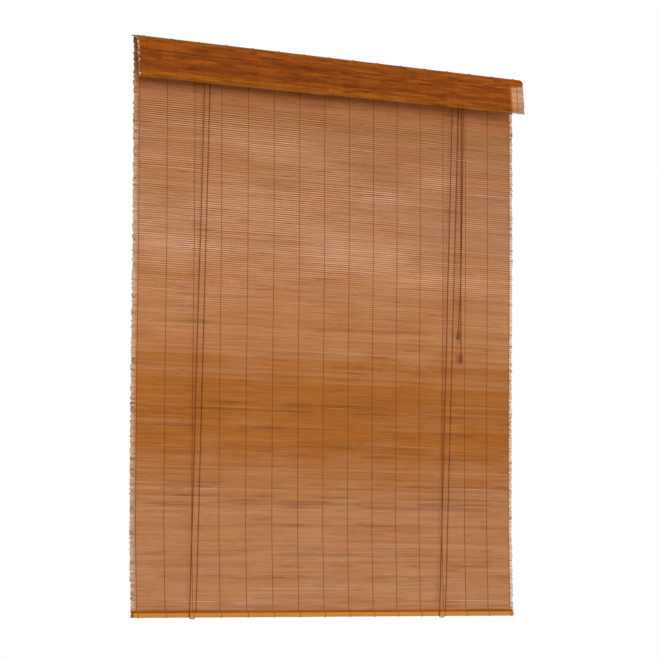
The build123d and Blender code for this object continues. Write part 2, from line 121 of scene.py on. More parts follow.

# The valance's colours: its ochre bands, its painted light to the right, its spots, its dark joints and
# its pale tips
EDGE_BAND = 9 * MM
LOW_BAND_RISE = 12 * MM
BAND_STAIN = 0.7
RIGHT_LIGHT = 0.22
VALANCE_SPOT_SPREAD = 0.6
VALANCE_JOINTS = 0.6
VALANCE_JOINT_SHADE = 0.6
VALANCE_EDGE_SHADE = -0.10
VALANCE_PALE_TIPS = 0.5

# Knots of the soft patches, down the mat and along its reeds
OPEN_PATCHES = (60, 16)
TONE_PATCHES = (50, 14)
CREAM_PATCHES = (26, 9)

# How the mat changes down its length: lengths down it in metres, and the values there,
# which are the sideways drift in metres, the gaps in mm, and shares and factors
MAT_SWAY = ([0.0, 0.55, 0.95, 1.35, 1.6], [0.0, -1 * MM, -6 * MM, -8 * MM, -3 * MM])
MAT_OPENNESS = (
    [0.0, 0.17, 0.25, 0.58, 0.66, 0.76, 0.86, 1.6],
    [0.03, 0.04, 0.17, 0.19, 0.12, 0.10, 0.05, 0.08],
)
MAT_STREAKS = ([0.2, 0.7, 0.8, 1.15, 1.25], [0.06, 0.05, 0.0, 0.0, 0.04])
WARM_BAND = ([0.60, 0.84, 0.96, 1.10, 1.18, 1.34], [0.0, 0.30, 1.0, 1.0, 0.55, 0.0])
OCHRE_ZONE = ([0.60, 0.84], [0.4, 1.0])
CREAM_ZONE = ([0.18, 0.26, 0.58, 0.68], [0.0, 0.5, 0.5, 0.0])
# Painted light along the reeds' edges, with painted shade in their middles; the negative value at the
# top is painted shade under the valance
EDGE_GLOW = ([0.13, 0.18, 0.58, 0.66, 0.78, 0.86], [-0.10, 0.60, 0.68, 0.38, 0.20, -0.04])
# Painted shade down the mat, red, green and blue apart: darkest just under the valance, which shades
# it, with a colour tint further down
SHADE_LEVELS = [0.12, 0.14, 0.16, 0.19, 0.25, 0.50, 0.62, 0.75]
RED_SHADE = [0.80, 0.84, 0.80, 0.72, 0.82, 0.92, 0.96, 0.98]
GREEN_SHADE = [0.66, 0.75, 0.77, 0.73, 0.84, 1.01, 1.02, 1.01]
BLUE_SHADE = [0.52, 0.66, 0.71, 0.68, 0.86, 1.14, 1.09, 1.03]

# The mat's spots, its dark joints, and the painted shade over the front lath, in rows of reeds
SPOT_SPREAD = 0.5
DARK_JOINTS = 0.24
JOINT_SHADE = 0.55
# Painted shade in the middle of each reed whose edges carry painted light
MIDDLE_SHADE = 0.9
LATH_LINE_ROWS = 1.6

# The reeds' ends: where they turn pale past the outermost threads, and how pale and dark
# they are, with pairs for the left and the right ends
THREAD_CLEAR = 2 * MM
END_FADE = 3 * MM
LEAST_PALE = (0.25, 0.75)
MOST_PALE = (0.75, 1.0)
DARK_TIPS = (0.15, 0.10)
TIP_STAIN = 0.6
# Painted shadow: the edges of the frayed reed ends are darkened, as the gaps between them are in shade
END_EDGE_SHADE = -0.35

# Colours as they render, red, green and blue from 0 to 255
REED_PALE = (176, 121, 82)
REED_WARM = (160, 93, 36)
REED_PINK = (186, 112, 88)
REED_OCHRE = (172, 112, 50)
REED_DARK = (128, 66, 24)
# Painted shade over the front lath
REED_LATH_SHADE = (164, 88, 26)
REED_CREAM = (236, 192, 150)
REED_GLOW = (206, 154, 120)
# VALANCE_MAIN and VALANCE_LIGHT hold painted shade, darker than the mat's reeds where the headrail and
# the mat behind keep the light out; VALANCE_END is painted backlight at the open right end
VALANCE_MAIN = (130, 60, 9)
VALANCE_LIGHT = (158, 84, 16)
VALANCE_OCHRE = (166, 96, 16)
VALANCE_DARK = (98, 38, 6)
VALANCE_END = (206, 142, 90)
VALANCE_TIP = (188, 134, 112)
REED_END = (224, 196, 172)
THREAD_COLOUR = (126, 66, 26)
VALANCE_THREAD_COLOUR = (134, 64, 16)
STITCH_COLOUR = (168, 102, 30)
CORD_COLOUR = (124, 62, 20)
BACK_CORD_COLOUR = (122, 62, 24)
LATH_COLOUR = (188, 121, 36)
TASSEL_COLOUR = (126, 66, 24)
BATTEN_COLOUR = (150, 104, 64)
STEEL_COLOUR = (160, 160, 162)
ZINC_COLOUR = (178, 178, 180)
BRASS_COLOUR = (196, 152, 82)
FLOOR_COLOUR = (232, 230, 226)
FLOOR_DARK = (226, 224, 220)

# The studio, in metres and watts: lamps, floor and the surround as it lights and as it is seen
LAMPS = (
    ("key", (-2.6, -4.2, 1.2), 150),
    ("fill", (3.4, -3.6, -0.6), 60),
    ("back", (0.5, 4.0, 0.4), 60),
)
LAMP_AIM = (0.0, 0.0, -0.8)
LAMP_SIZE = 3.0
FLOOR_HALF = 3.0
FLOOR_HEIGHT = -3.95
WORLD_LIGHT = 0.62
WORLD_SEEN = 1.0

# Camera: a long lens, low and to the left, tilted up a little
FOCAL_PIXELS = 3539
IMAGE_PIXELS = 660
SENSOR_MM = 36
CAMERA_YAW = radians(38.5)
CAMERA_PITCH = radians(4.17)
CAMERA_PLACE = (-6.327, -7.939, -1.526)


def linear(colour):
    """Turns a colour from 0 to 255 into the renderer's linear values."""
    parts = np.asarray(colour, float) / 255
    return np.where(parts <= 0.04045, parts / 12.92, ((parts + 0.055) / 1.055) ** 2.4)


def rgba(colour):
    """Gives a node's colour value."""
    return (*[float(part) for part in linear(colour)], 1.0)


def new_material(name, colour, roughness):
    """Makes a node material and gives its tree and main shader."""
    material = bpy.data.materials.new(name)
    material.use_nodes = True
    tree = material.node_tree
    shader = tree.nodes["Principled BSDF"]
    shader.inputs["Base Color"].default_value = rgba(colour)
    shader.inputs["Roughness"].default_value = roughness
    return material, tree, shader


def stretched_noise(tree, scale, detail, roughness=0.55):
    """Adds a noise texture over the object's own coordinates, stretched by its scale in each axis."""
    coordinates = tree.nodes.new("ShaderNodeTexCoord")
    mapping = tree.nodes.new("ShaderNodeMapping")
    mapping.inputs["Scale"].default_value = scale
    noise = tree.nodes.new("ShaderNodeTexNoise")
    noise.inputs["Scale"].default_value = 1.0
    noise.inputs["Detail"].default_value = detail
    noise.inputs["Roughness"].default_value = roughness
    tree.links.new(coordinates.outputs["Object"], mapping.inputs["Vector"])
    tree.links.new(mapping.outputs["Vector"], noise.inputs["Vector"])
    return noise.outputs["Fac"]


def ramp(tree, value, stops):
    """Adds a colour ramp with the given stops of place and colour."""
    node = tree.nodes.new("ShaderNodeValToRGB")
    elements = node.color_ramp.elements
    elements[0].position, elements[0].color = stops[0][0], stops[0][1]
    elements[1].position, elements[1].color = stops[-1][0], stops[-1][1]
    for place, colour in stops[1:-1]:
        elements.new(place).color = colour
    tree.links.new(value, node.inputs["Fac"])
    return node.outputs["Color"]


def multiply(tree, first, second, amount=1.0):
    """Multiplies two colours."""
    node = tree.nodes.new("ShaderNodeMix")
    node.data_type = "RGBA"
    node.blend_type = "MULTIPLY"
    node.inputs["Factor"].default_value = amount
    tree.links.new(first, node.inputs["A"])
    tree.links.new(second, node.inputs["B"])
    return node.outputs["Result"]


def bump(tree, shader, height, strength, distance):
    """Adds a bump from a height."""
    node = tree.nodes.new("ShaderNodeBump")
    node.inputs["Strength"].default_value = strength
    node.inputs["Distance"].default_value = distance
    tree.links.new(height, node.inputs["Height"])
    tree.links.new(node.outputs["Normal"], shader.inputs["Normal"])


def grey(value):
    """Gives a grey colour value."""
    return (value, value, value, 1.0)


def maths(tree, operation, first, second, third=None):
    """Adds a sum on values, each a number or another node's output."""
    node = tree.nodes.new("ShaderNodeMath")
    node.operation = operation
    for socket, value in zip(node.inputs, (first, second, third)):
        if isinstance(value, (int, float)):
            socket.default_value = value
        elif value is not None:
            tree.links.new(value, socket)
    return node.outputs[0]


def cord_shade(tree, top, bottom):
    """Gives a tint of painted shade, dark along a straight line across the sheet where a cord lies
    behind it, standing for the cord seen through the reeds.
    """
    coordinates = tree.nodes.new("ShaderNodeTexCoord")
    parts = tree.nodes.new("ShaderNodeSeparateXYZ")
    tree.links.new(coordinates.outputs["Object"], parts.inputs[0])
    slope = (top[0] - bottom[0]) / (top[1] - bottom[1])
    start = top[0] - slope * top[1]
    line = maths(tree, "MULTIPLY_ADD", parts.outputs["Z"], slope, start)
    away = maths(tree, "ABSOLUTE", maths(tree, "SUBTRACT", parts.outputs["X"], line), 0.0)
    place = maths(tree, "DIVIDE", away, CORD_SHADE_HALF)
    return ramp(tree, place, [(0.25, (0.46, 0.35, 0.26, 1)), (0.62, grey(1.0)), (0.9, grey(1.0))])


def reed_material(name, cords=()):
    """Bamboo reed: the mesh's colours with their painted light and shade, long grain, short flecks,
    painted shade along any cords behind, and fine fibre bump.
    """
    material, tree, shader = new_material(name, REED_WARM, 0.7)
    colours = tree.nodes.new("ShaderNodeVertexColor")
    colours.layer_name = "reed_colour"
    plain = grey(1.0)
    grain = stretched_noise(tree, (9, 40, 420), 4.0, 0.62)
    grain_stops = [(0.28, (0.80, 0.74, 0.66, 1)), (0.5, plain), (0.76, (1.12, 1.11, 1.06, 1))]
    grain_tint = ramp(tree, grain, grain_stops)
    fleck = stretched_noise(tree, (46, 60, 900), 2.0, 0.5)
    fleck_stops = [(0.30, (0.74, 0.66, 0.56, 1)), (0.42, plain), (0.72, grey(1.04))]
    fleck_tint = ramp(tree, fleck, fleck_stops)
    streak = stretched_noise(tree, (2.4, 20, 150), 2.0, 0.5)
    streak_stops = [(0.3, (0.90, 0.86, 0.80, 1)), (0.55, plain), (0.75, (1.05, 1.03, 1.0, 1))]
    streak_tint = ramp(tree, streak, streak_stops)
    mixed = multiply(tree, colours.outputs["Color"], grain_tint)
    mixed = multiply(tree, mixed, fleck_tint, 0.8)
    mixed = multiply(tree, mixed, streak_tint)
    # Painted shade along the cords behind the sheet
    for top, bottom in cords:
        mixed = multiply(tree, mixed, cord_shade(tree, top, bottom))
    tree.links.new(mixed, shader.inputs["Base Color"])
    shader.inputs["Specular IOR Level"].default_value = 0.06
    fibre = stretched_noise(tree, (60, 900, 3200), 2.0, 0.6)
    bump(tree, shader, fibre, 0.35, 0.0003)
    return material


def reed_end_material():
    """The pale cut ends of the reeds."""
    material, tree, shader = new_material("reed_end", REED_END, 0.8)
    pores = stretched_noise(tree, (800, 1400, 1400), 2.0)
    stops = [(0.35, (0.50, 0.36, 0.26, 1)), (0.5, (0.80, 0.64, 0.50, 1)), (0.65, rgba(REED_END))]
    tree.links.new(ramp(tree, pores, stops), shader.inputs["Base Color"])
    return material


def yarn_material(name, colour):
    """Twisted cotton yarn: fibre noise in its colour, a slight sheen and a fuzzy bump."""
    material, tree, shader = new_material(name, colour, 0.9)
    fibre = stretched_noise(tree, (1500, 1500, 500), 2.0)
    dark = tuple(0.68 * part for part in rgba(colour)[:3])
    light = tuple(min(1.0, 1.3 * part) for part in rgba(colour)[:3])
    tint = ramp(tree, fibre, [(0.32, (*dark, 1)), (0.5, rgba(colour)), (0.7, (*light, 1))])
    tree.links.new(tint, shader.inputs["Base Color"])
    shader.inputs["Sheen Weight"].default_value = 0.04
    shader.inputs["Specular IOR Level"].default_value = 0.05
    bump(tree, shader, fibre, 0.5, 0.0002)
    return material


def wood_material(name, colour, scale, roughness, contrast=0.7):
    """Planed wood with grain along its length."""
    material, tree, shader = new_material(name, colour, roughness)
    grain = stretched_noise(tree, scale, 5.0, 0.65)
    dark = tuple(contrast * part for part in rgba(colour)[:3])
    light = tuple(min(1.0, 1.18 * part) for part in rgba(colour)[:3])
    tint = ramp(tree, grain, [(0.3, (*dark, 1)), (0.52, rgba(colour)), (0.74, (*light, 1))])
    tree.links.new(tint, shader.inputs["Base Color"])
    shader.inputs["Specular IOR Level"].default_value = 0.15
    bump(tree, shader, grain, 0.25, 0.0003)
    return material


def metal_material(name, colour, roughness):
    """Rolled or turned metal with fine brushing and a varied gloss."""
    material, tree, shader = new_material(name, colour, roughness)
    shader.inputs["Metallic"].default_value = 1.0
    brushing = stretched_noise(tree, (300, 2600, 2600), 2.0)
    dark = tuple(0.8 * part for part in rgba(colour)[:3])
    tint = ramp(tree, brushing, [(0.3, (*dark, 1)), (0.7, rgba(colour))])
    tree.links.new(tint, shader.inputs["Base Color"])
    gloss = ramp(tree, brushing, [(0.3, grey(roughness * 0.8)), (0.7, grey(roughness * 1.3))])
    tree.links.new(gloss, shader.inputs["Roughness"])
    bump(tree, shader, brushing, 0.15, 0.00005)
    return material


def cord_behind(side):
    """Gives the top and bottom of a back cord as seen from the front, each as X and Z."""
    low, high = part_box(f"{side}_back_cord")
    return (high[0] - CORD_R, high[2]), (low[0] + CORD_R, low[2])


materials = {
    "mat_reed": reed_material("mat_reed", [cord_behind("left"), cord_behind("right")]),
    "valance_reed": reed_material("valance_reed"),
    "reed_end": reed_end_material(),
    "thread": yarn_material("warp_thread", THREAD_COLOUR),
    "valance_thread": yarn_material("valance_thread", VALANCE_THREAD_COLOUR),
    "stitch": yarn_material("lath_stitch", STITCH_COLOUR),
    "cord": yarn_material("lift_cord", CORD_COLOUR),
    "back_cord": yarn_material("back_cord", BACK_CORD_COLOUR),
    "lath": wood_material("lath_bamboo", LATH_COLOUR, (14, 300, 700), 0.45),
    "tassel": wood_material("turned_wood", TASSEL_COLOUR, (900, 900, 120), 0.42, 0.62),
    "batten": wood_material("planed_batten", BATTEN_COLOUR, (6, 160, 240), 0.7),
    "steel": metal_material("steel_wire", STEEL_COLOUR, 0.38),
    "zinc": metal_material("zinc_plate", ZINC_COLOUR, 0.42),
    "brass": metal_material("turned_brass", BRASS_COLOUR, 0.34),
}


def smooth_rows(random, rows, columns, knots, spread):
    """Gives rows of smooth random values, each row drawn through its own knots."""
    values = random.normal(0.0, spread, (rows, knots))
    place = np.linspace(0, knots - 1, columns)
    low = np.clip(np.floor(place).astype(int), 0, knots - 2)
    part = place - low
    part = part * part * (3 - 2 * part)
    return values[:, low] * (1 - part) + values[:, low + 1] * part


def mesh_object(name, points, faces, material_list, indices=None, smooth=False):
    """Makes a mesh object from points in metres."""
    mesh = bpy.data.meshes.new(name)
    mesh.from_pydata(points, [], faces)
    for material in material_list:
        mesh.materials.append(material)
    if indices is not None:
        mesh.polygons.foreach_set("material_index", indices)
    mesh.polygons.foreach_set("use_smooth", [smooth] * len(faces))
    mesh.update()
    item = bpy.data.objects.new(name, mesh)
    bpy.context.scene.collection.objects.link(item)
    return item


def woven_reeds(name, place, x, top, bottom, colours, edge_light, material):
    """Makes a row of flat reeds as one mesh.

    place gives the sheet's middle line and its outward direction at a length along it,
    x, top and bottom are rows of places along each reed, colours has a colour for each,
    and edge_light says how much lighter each reed is along its edges than in its middle:
    painted light on the edges with painted shade in the middle where it is positive,
    and darker edges where it is negative.
    """
    rows, columns = x.shape
    half = REED_THICKNESS / 2
    middle = (top + bottom) / 2
    corners = []
    section = ((top, half), (middle, half + REED_BULGE), (bottom, half), (bottom, -half), (top, -half))
    for s, reach in section:
        y, z, out_y, out_z = place(s)
        corners.append(np.stack([x, y + out_y * reach, z + out_z * reach], axis=-1))
    ring = len(corners)
    points = np.stack(corners, axis=2).reshape(-1, 3)
    faces = []
    indices = []
    for row in range(rows):
        start = row * columns * ring
        for column in range(columns - 1):
            here = start + column * ring
            there = here + ring
            for i in range(ring):
                k = (i + 1) % ring
                faces.append((here + i, here + k, there + k, there + i))
                indices.append(0)
        last = start + (columns - 1) * ring
        faces.append(tuple(start + i for i in reversed(range(ring))))
        faces.append(tuple(last + i for i in range(ring)))
        indices += [1, 1]
    finish = [materials[material], materials["reed_end"]]
    item = mesh_object(name, points.tolist(), faces, finish, indices)
    layer = item.data.color_attributes.new("reed_colour", "FLOAT_COLOR", "POINT")
    flat = np.repeat(colours[:, :, None, :], ring, axis=2)
    # Painted light on the reeds' edges and painted shade in their middles, or darker edges where
    # edge_light is negative
    flat[:, :, 0, :] *= 1 + edge_light[..., None]
    flat[:, :, 1, :] *= 1 - MIDDLE_SHADE * np.maximum(edge_light, 0)[..., None]
    flat[:, :, 2, :] *= 1 + edge_light[..., None]
    flat = flat.reshape(-1, 3)
    flat = np.concatenate([flat, np.ones((len(flat), 1))], axis=1)
    layer.data.foreach_set("color", flat.astype(np.float32).ravel())
    return item


def blend_colours(first, second, share):
    """Mixes two colours by a share for each place."""
    share = np.clip(share, 0, 1)[..., None]
    return linear(first) * (1 - share) + linear(second) * share


thread_left = mat_low[0] + THREAD_LEFT_MARGIN
thread_right = mat_high[0] - THREAD_RIGHT_MARGIN
thread_share = np.linspace(0, 1, THREAD_COUNT)
thread_bow = 4 * THREAD_DRIFT * thread_share * (1 - thread_share)
thread_x = thread_left + (thread_right - thread_left) * thread_share + thread_bow


def reed_columns(left, right, inner):
    """Gives the places along a reed: its two ends, the stretch outside the threads and the rest."""
    inside = np.linspace(thread_left, thread_right, inner)
    before = np.array([left, left + END_STRETCH, left + END_STRETCH_FAR, thread_left - END_START])
    after = np.array([thread_right + END_START, right - END_STRETCH_FAR, right - END_STRETCH, right])
    return np.concatenate([before, inside, after])


def mat_place(s):
    """Gives the middle line of the mat and its outward direction."""
    y = np.full_like(s, (mat_low[1] + mat_high[1]) / 2)
    return y, -s, -1.0, 0.0


def row_boundaries(random, columns, start, end):
    """Gives the lengths along the sheet of the lines between reeds, each wavering a little."""
    count = int((end - start) / REED_PITCH)
    steps = REED_PITCH * (1 + random.normal(0, PITCH_SPREAD, count))
    lines = start + np.concatenate([[0], np.cumsum(steps)])
    lines = start + (lines - start) * (end - start) / (lines[-1] - start)
    waver = smooth_rows(random, count + 1, columns, 9, LINE_WAVER)
    slant = random.normal(0, LINE_WAVER, count + 1)[:, None] * np.linspace(-1, 1, columns)[None, :]
    from_end = np.minimum(np.arange(count + 1), np.arange(count, -1, -1))[:, None]
    return lines[:, None] + (waver + slant) * np.clip(from_end / STEADY_ROWS, 0, 1)


def patches(random, rows, columns, row_knots, column_knots):
    """Gives a field of soft patches over the sheet, with values from 0 to 1."""
    coarse = smooth_rows(random, row_knots, columns, column_knots, 1.0)
    places = np.linspace(0, row_knots - 1, rows)
    knots = np.arange(row_knots)
    field = np.stack([np.interp(places, knots, coarse[:, i]) for i in range(columns)], axis=1)
    return np.clip(0.5 + 0.5 * field, 0, 1)


def patchy(random, rows, columns):
    """Gives a factor by which gaps and light edges vary over the mat, from 0.35 to 1.25."""
    return 0.35 + 0.9 * patches(random, rows, columns, *OPEN_PATCHES)


def spots(random, rows, columns, knots, threshold, most, spread=SPOT_SPREAD):
    """Gives a field of long spots, one row high: how far a smooth random value is over a threshold."""
    return np.clip(smooth_rows(random, rows, columns, knots, spread) - threshold, 0, most)


def stain(colours, colour, share):
    """Blends a field of colours towards one colour by a share for each place."""
    share = np.clip(share, 0, 1)[..., None]
    return colours * (1 - share) + linear(colour) * share


def down(level, profile):
    """Gives a profile's values at lengths down the mat."""
    return np.interp(level, *profile)


def outside_threads(base):
    """Says which places along the reeds lie outside the outermost threads."""
    return (base < thread_left) | (base > thread_right)


def end_tints(random, colours, base):
    """Pales the reeds outside the outermost threads, and darkens a few of their ends."""
    rows = len(colours)
    beyond = np.maximum(thread_left - THREAD_CLEAR - base, base - thread_right - THREAD_CLEAR)
    outside = np.clip(beyond / END_FADE, 0, 1)[None, :]
    least = np.where(base < 0, *LEAST_PALE)[None, :]
    most = np.where(base < 0, *MOST_PALE)[None, :]
    share = least + (most - least) * random.random((rows, 1))
    colours = stain(colours, REED_CREAM, np.repeat(outside, rows, axis=0) * share)
    tips = np.zeros((rows, len(base)))
    tips[:, :3] = random.random((rows, 1)) < DARK_TIPS[0]
    tips[:, -3:] = random.random((rows, 1)) < DARK_TIPS[1]
    return stain(colours, REED_DARK, tips * TIP_STAIN)


def sideways(level):
    """Gives how far the mat has drifted sideways at a length down it."""
    return down(level, MAT_SWAY)


def mat_gaps(random, lines, base):
    """Gives the gaps between the mat's reeds: open in patches, with rare streaks and frayed ends."""
    count, columns = len(lines), len(base)
    depth = lines[:, :1]
    gap = down(depth, MAT_OPENNESS) * MM * patchy(random, count, columns)
    gap = gap * random.uniform(0.65, 1.35, (count, 1))
    rare = random.random((count, 1)) < down(depth, MAT_STREAKS)
    gap = gap + rare * np.clip(smooth_rows(random, count, columns, 16, STREAK_GAP), 0, STREAK_GAP)
    frayed = outside_threads(base) * np.where(base < thread_left, FRAY_LEFT, FRAY_RIGHT)
    return gap + frayed[None, :] * random.uniform(0.0, 1.0, (count, 1))


def mat_colours(random, level, base, cream):
    """Gives the colours of the mat's reeds: a warm band over its middle, stains, patches, painted glow
    in the upper part, and painted shade under the valance and over the front lath.
    """
    rows, columns = len(level), len(base)
    tone = random.normal(0.06, 0.14, (rows, 1))
    tone = tone + 0.30 * (patches(random, rows, columns, *TONE_PATCHES) - 0.5)
    band = down(level, WARM_BAND)
    colours = blend_colours(REED_PALE, REED_WARM, tone + band)
    pink = spots(random, rows, columns, 18, 0.35, 0.6) * (1 - 0.8 * band)
    ochre = spots(random, rows, columns, 14, 0.45, 0.6) * down(level, OCHRE_ZONE)
    colours = stain(colours, REED_PINK, pink)
    colours = stain(colours, REED_OCHRE, ochre)
    # Painted light: a pale glow in patches over the upper mat, where light comes through the reeds
    colours = stain(colours, REED_GLOW, np.clip(cream - 0.4, 0, 1) * down(level, CREAM_ZONE))
    colours = stain(colours, REED_DARK, spots(random, rows, columns, 24, 0.75, 0.4))
    colours = end_tints(random, colours, base)
    # Painted shade under the valance, and a colour tint further down the mat
    shades = [np.interp(level, SHADE_LEVELS, shade) for shade in (RED_SHADE, GREEN_SHADE, BLUE_SHADE)]
    colours = colours * np.stack(shades, axis=-1)
    # Painted shade: the reeds just above the front lath, where the back lath behind them keeps the
    # light out
    above_lath = level > -front_lath_high[2] - LATH_LINE_ROWS * REED_PITCH
    return np.where(above_lath[..., None], linear(REED_LATH_SHADE), colours)


def mat_edges(random, level, base, cream):
    """Gives how light the edges of the mat's reeds are: painted light on the edges in the upper part
    with painted shade in their middles and under the valance, and some joints dark.
    """
    rows, columns = len(level), len(base)
    glow = down(level, EDGE_GLOW) * patchy(random, rows, columns)
    edge_light = glow * (0.75 + 0.6 * cream)
    dark_joints = random.random((rows, 1)) < DARK_JOINTS
    edge_light = edge_light - JOINT_SHADE * (dark_joints * patches(random, rows, columns, rows, 20))
    # Painted shadow on the edges of the frayed ends
    return np.where(outside_threads(base)[None, :], END_EDGE_SHADE, edge_light)


def make_mat():
    """The hanging mat: single reeds with uneven gaps that let the background through."""
    random = np.random.default_rng(SEED)
    base = reed_columns(mat_low[0], mat_high[0], MAT_COLUMNS)
    columns = len(base)
    bottom = -(back_lath_low[2] + BOTTOM_MARGIN)
    lines = row_boundaries(random, columns, 0.0, bottom)
    rows = len(lines) - 1
    gap = mat_gaps(random, lines, base)
    x = np.repeat(base[None, :], rows, axis=0)
    x[:, 0] += random.random(rows) * UNEVEN_LEFT
    x[:, -1] -= random.random(rows) * UNEVEN_RIGHT
    x += sideways(lines[:-1])
    upper = lines[:-1] + gap[:-1] / 2
    lower = lines[1:] - gap[1:] / 2
    level = lines[:-1, :1]
    cream = patches(np.random.default_rng(SEED + 2), rows, columns, *CREAM_PATCHES)
    colours = mat_colours(random, level, base, cream)
    edge_light = mat_edges(random, level, base, cream)
    item = woven_reeds("reed_mat", mat_place, x, upper, lower, colours, edge_light, "mat_reed")
    return item, base, lines


bend_length = VALANCE_BEND * (pi / 2 - VALANCE_FLARE)


def valance_place(s):
    """Gives the middle line of the valance and its outward direction at a length along it."""
    bend_start = rail_high[1] - VALANCE_FLAT
    centre_z = VALANCE_MID - VALANCE_BEND
    turn = np.clip(s - VALANCE_FLAT, 0, bend_length) / VALANCE_BEND
    rest = np.maximum(0, s - VALANCE_FLAT - bend_length)
    y = np.where(s <= VALANCE_FLAT, rail_high[1] - s, bend_start - VALANCE_BEND * np.sin(turn))
    y = y - rest * np.cos(turn)
    z = centre_z + VALANCE_BEND * np.cos(turn) - rest * np.sin(turn)
    return y, z, -np.sin(turn), np.cos(turn)


def make_valance():
    """The valance: the same reeds over the headrail, close set, and painted dark in front of it as the
    shade where the headrail and the mat behind keep the light out.
    """
    random = np.random.default_rng(SEED + 1)
    base = reed_columns(valance_low[0], valance_high[0], VALANCE_COLUMNS)
    columns = len(base)
    fall = VALANCE_MID - VALANCE_BEND * (1 - sin(VALANCE_FLARE)) - valance_low[2]
    hang = fall / cos(VALANCE_FLARE)
    hang_start = VALANCE_FLAT + bend_length
    length = hang_start + hang
    lines = row_boundaries(random, columns, 0.2 * MM, length - 1.0 * MM)
    rows = len(lines) - 1
    share = (base - base[0]) / (base[-1] - base[0])
    skew = (1 - share) * VALANCE_LEFT_DROP - share * VALANCE_RIGHT_RISE
    lines = lines + skew[None, :] * np.clip((lines - hang_start) / hang, 0, 1)

    # Gaps: close set, open at the right end past the headrail and outside the threads
    gap = VALANCE_GAP + np.abs(smooth_rows(random, rows + 1, columns, 30, VALANCE_GAP))
    see_through = np.clip((base - VALANCE_END_START) / VALANCE_END_RAMP, 0, 1)[None, :]
    hangs = np.clip((lines[:, :1] - hang_start) / VALANCE_DROP_RAMP, 0, 1)
    outside = outside_threads(base)[None, :]
    gap = gap + see_through * hangs * random.uniform(*VALANCE_OPEN_GAPS, (rows + 1, 1)) * MM
    gap = gap + outside * random.uniform(*VALANCE_END_GAPS, (rows + 1, 1)) * MM
    x = np.repeat(base[None, :], rows, axis=0)
    x[:, 0] += random.random(rows) * VALANCE_UNEVEN_LEFT
    x[:, -1] -= random.random(rows) * VALANCE_UNEVEN_RIGHT

    # Colours: painted shade, painted light to the right, ochre along the bend and the lower edge,
    # painted backlight at the right end
    tone = random.normal(0.30, 0.20, (rows, 1))
    tone = tone + 0.6 * (patches(random, rows, columns, rows, 26) - 0.5)
    colours = blend_colours(VALANCE_MAIN, VALANCE_LIGHT, tone)
    # Painted light: lighter to the right, away from the key lamp at the left
    colours = colours * (1 + RIGHT_LIGHT * np.clip(2 * share - 1, 0, 1))[None, :, None]
    level = np.repeat(lines[:-1, :1], columns, axis=1)
    top_edge = np.exp(-(((level - VALANCE_FLAT - 0.5 * bend_length) / EDGE_BAND) ** 2))
    low_edge = np.exp(-(((level - length + LOW_BAND_RISE) / EDGE_BAND) ** 2))
    ochre = BAND_STAIN * top_edge + BAND_STAIN * low_edge
    ochre = ochre * (0.4 + 0.6 * patches(random, rows, columns, rows, 12))
    colours = stain(colours, VALANCE_OCHRE, ochre)
    dark = spots(random, rows, columns, 40, 0.45, 0.5, VALANCE_SPOT_SPREAD)
    colours = stain(colours, VALANCE_DARK, dark)
    # Painted backlight: pale at the right end past the headrail, where only one layer stands against
    # the light
    end_share = see_through * np.repeat(hangs[:-1], columns, axis=1)
    colours = stain(colours, VALANCE_END, end_share)
    past_thread = (base > thread_right + 1 * MM)[None, :]
    colours = stain(colours, VALANCE_TIP, end_share * past_thread * 0.8)
    tips = np.zeros((rows, columns))
    tips[:, :2] = random.random((rows, 1)) < VALANCE_PALE_TIPS
    colours = stain(colours, REED_CREAM, tips * TIP_STAIN)
    joint_shade = VALANCE_JOINT_SHADE * (random.random((rows, 1)) < VALANCE_JOINTS)
    edge_light = VALANCE_EDGE_SHADE - joint_shade * patches(random, rows, columns, rows, 30)
    upper = lines[:-1] + gap[:-1] / 2
    lower = lines[1:] - gap[1:] / 2
    reeds = (x, upper, lower, colours, edge_light)
    item = woven_reeds("reed_valance", valance_place, *reeds, "valance_reed")
    return item, base, lines


def tube_mesh(name, paths, radius, sides, material, lobes=0, twist=0.0):
    """Makes one mesh of tubes along lines of points, with a lobed and twisting section if asked."""
    points = []
    faces = []
    for path in paths:
        line = [Vector(point) for point in path]
        along = 0.0
        side = None
        first = len(points)
        for i, point in enumerate(line):
            before = line[max(i - 1, 0)]
            after = line[min(i + 1, len(line) - 1)]
            direction = (after - before).normalized()
            if side is None:
                reference = Vector((0, 1, 0)) if abs(direction.y) < 0.9 else Vector((1, 0, 0))
                side = direction.cross(reference).normalized()
            side = (side - direction * side.dot(direction)).normalized()
            other = direction.cross(side)
            if i:
                along += (point - before).length
            for k in range(sides):
                angle = 2 * pi * k / sides
                reach = radius
                if lobes:
                    wave = cos(lobes * (angle - 2 * pi * along / (twist * lobes)))
                    reach = radius - CORD_LOBE * (1 - wave)
                points.append(point + side * (cos(angle) * reach) + other * (sin(angle) * reach))
        for i in range(len(line) - 1):
            here = first + i * sides
            there = here + sides
            for k in range(sides):
                nxt = (k + 1) % sides
                faces.append((here + k, here + nxt, there + nxt, there + k))
        last = first + (len(line) - 1) * sides
        faces.append(tuple(first + k for k in reversed(range(sides))))
        faces.append(tuple(last + k for k in range(sides)))
    return mesh_object(name, points, faces, [material], smooth=sides > 4 or bool(lobes))


def column_at(base, lines, x):
    """Gives the lengths of the lines between reeds at one place along them."""
    return np.array([np.interp(x, base, line) for line in lines])


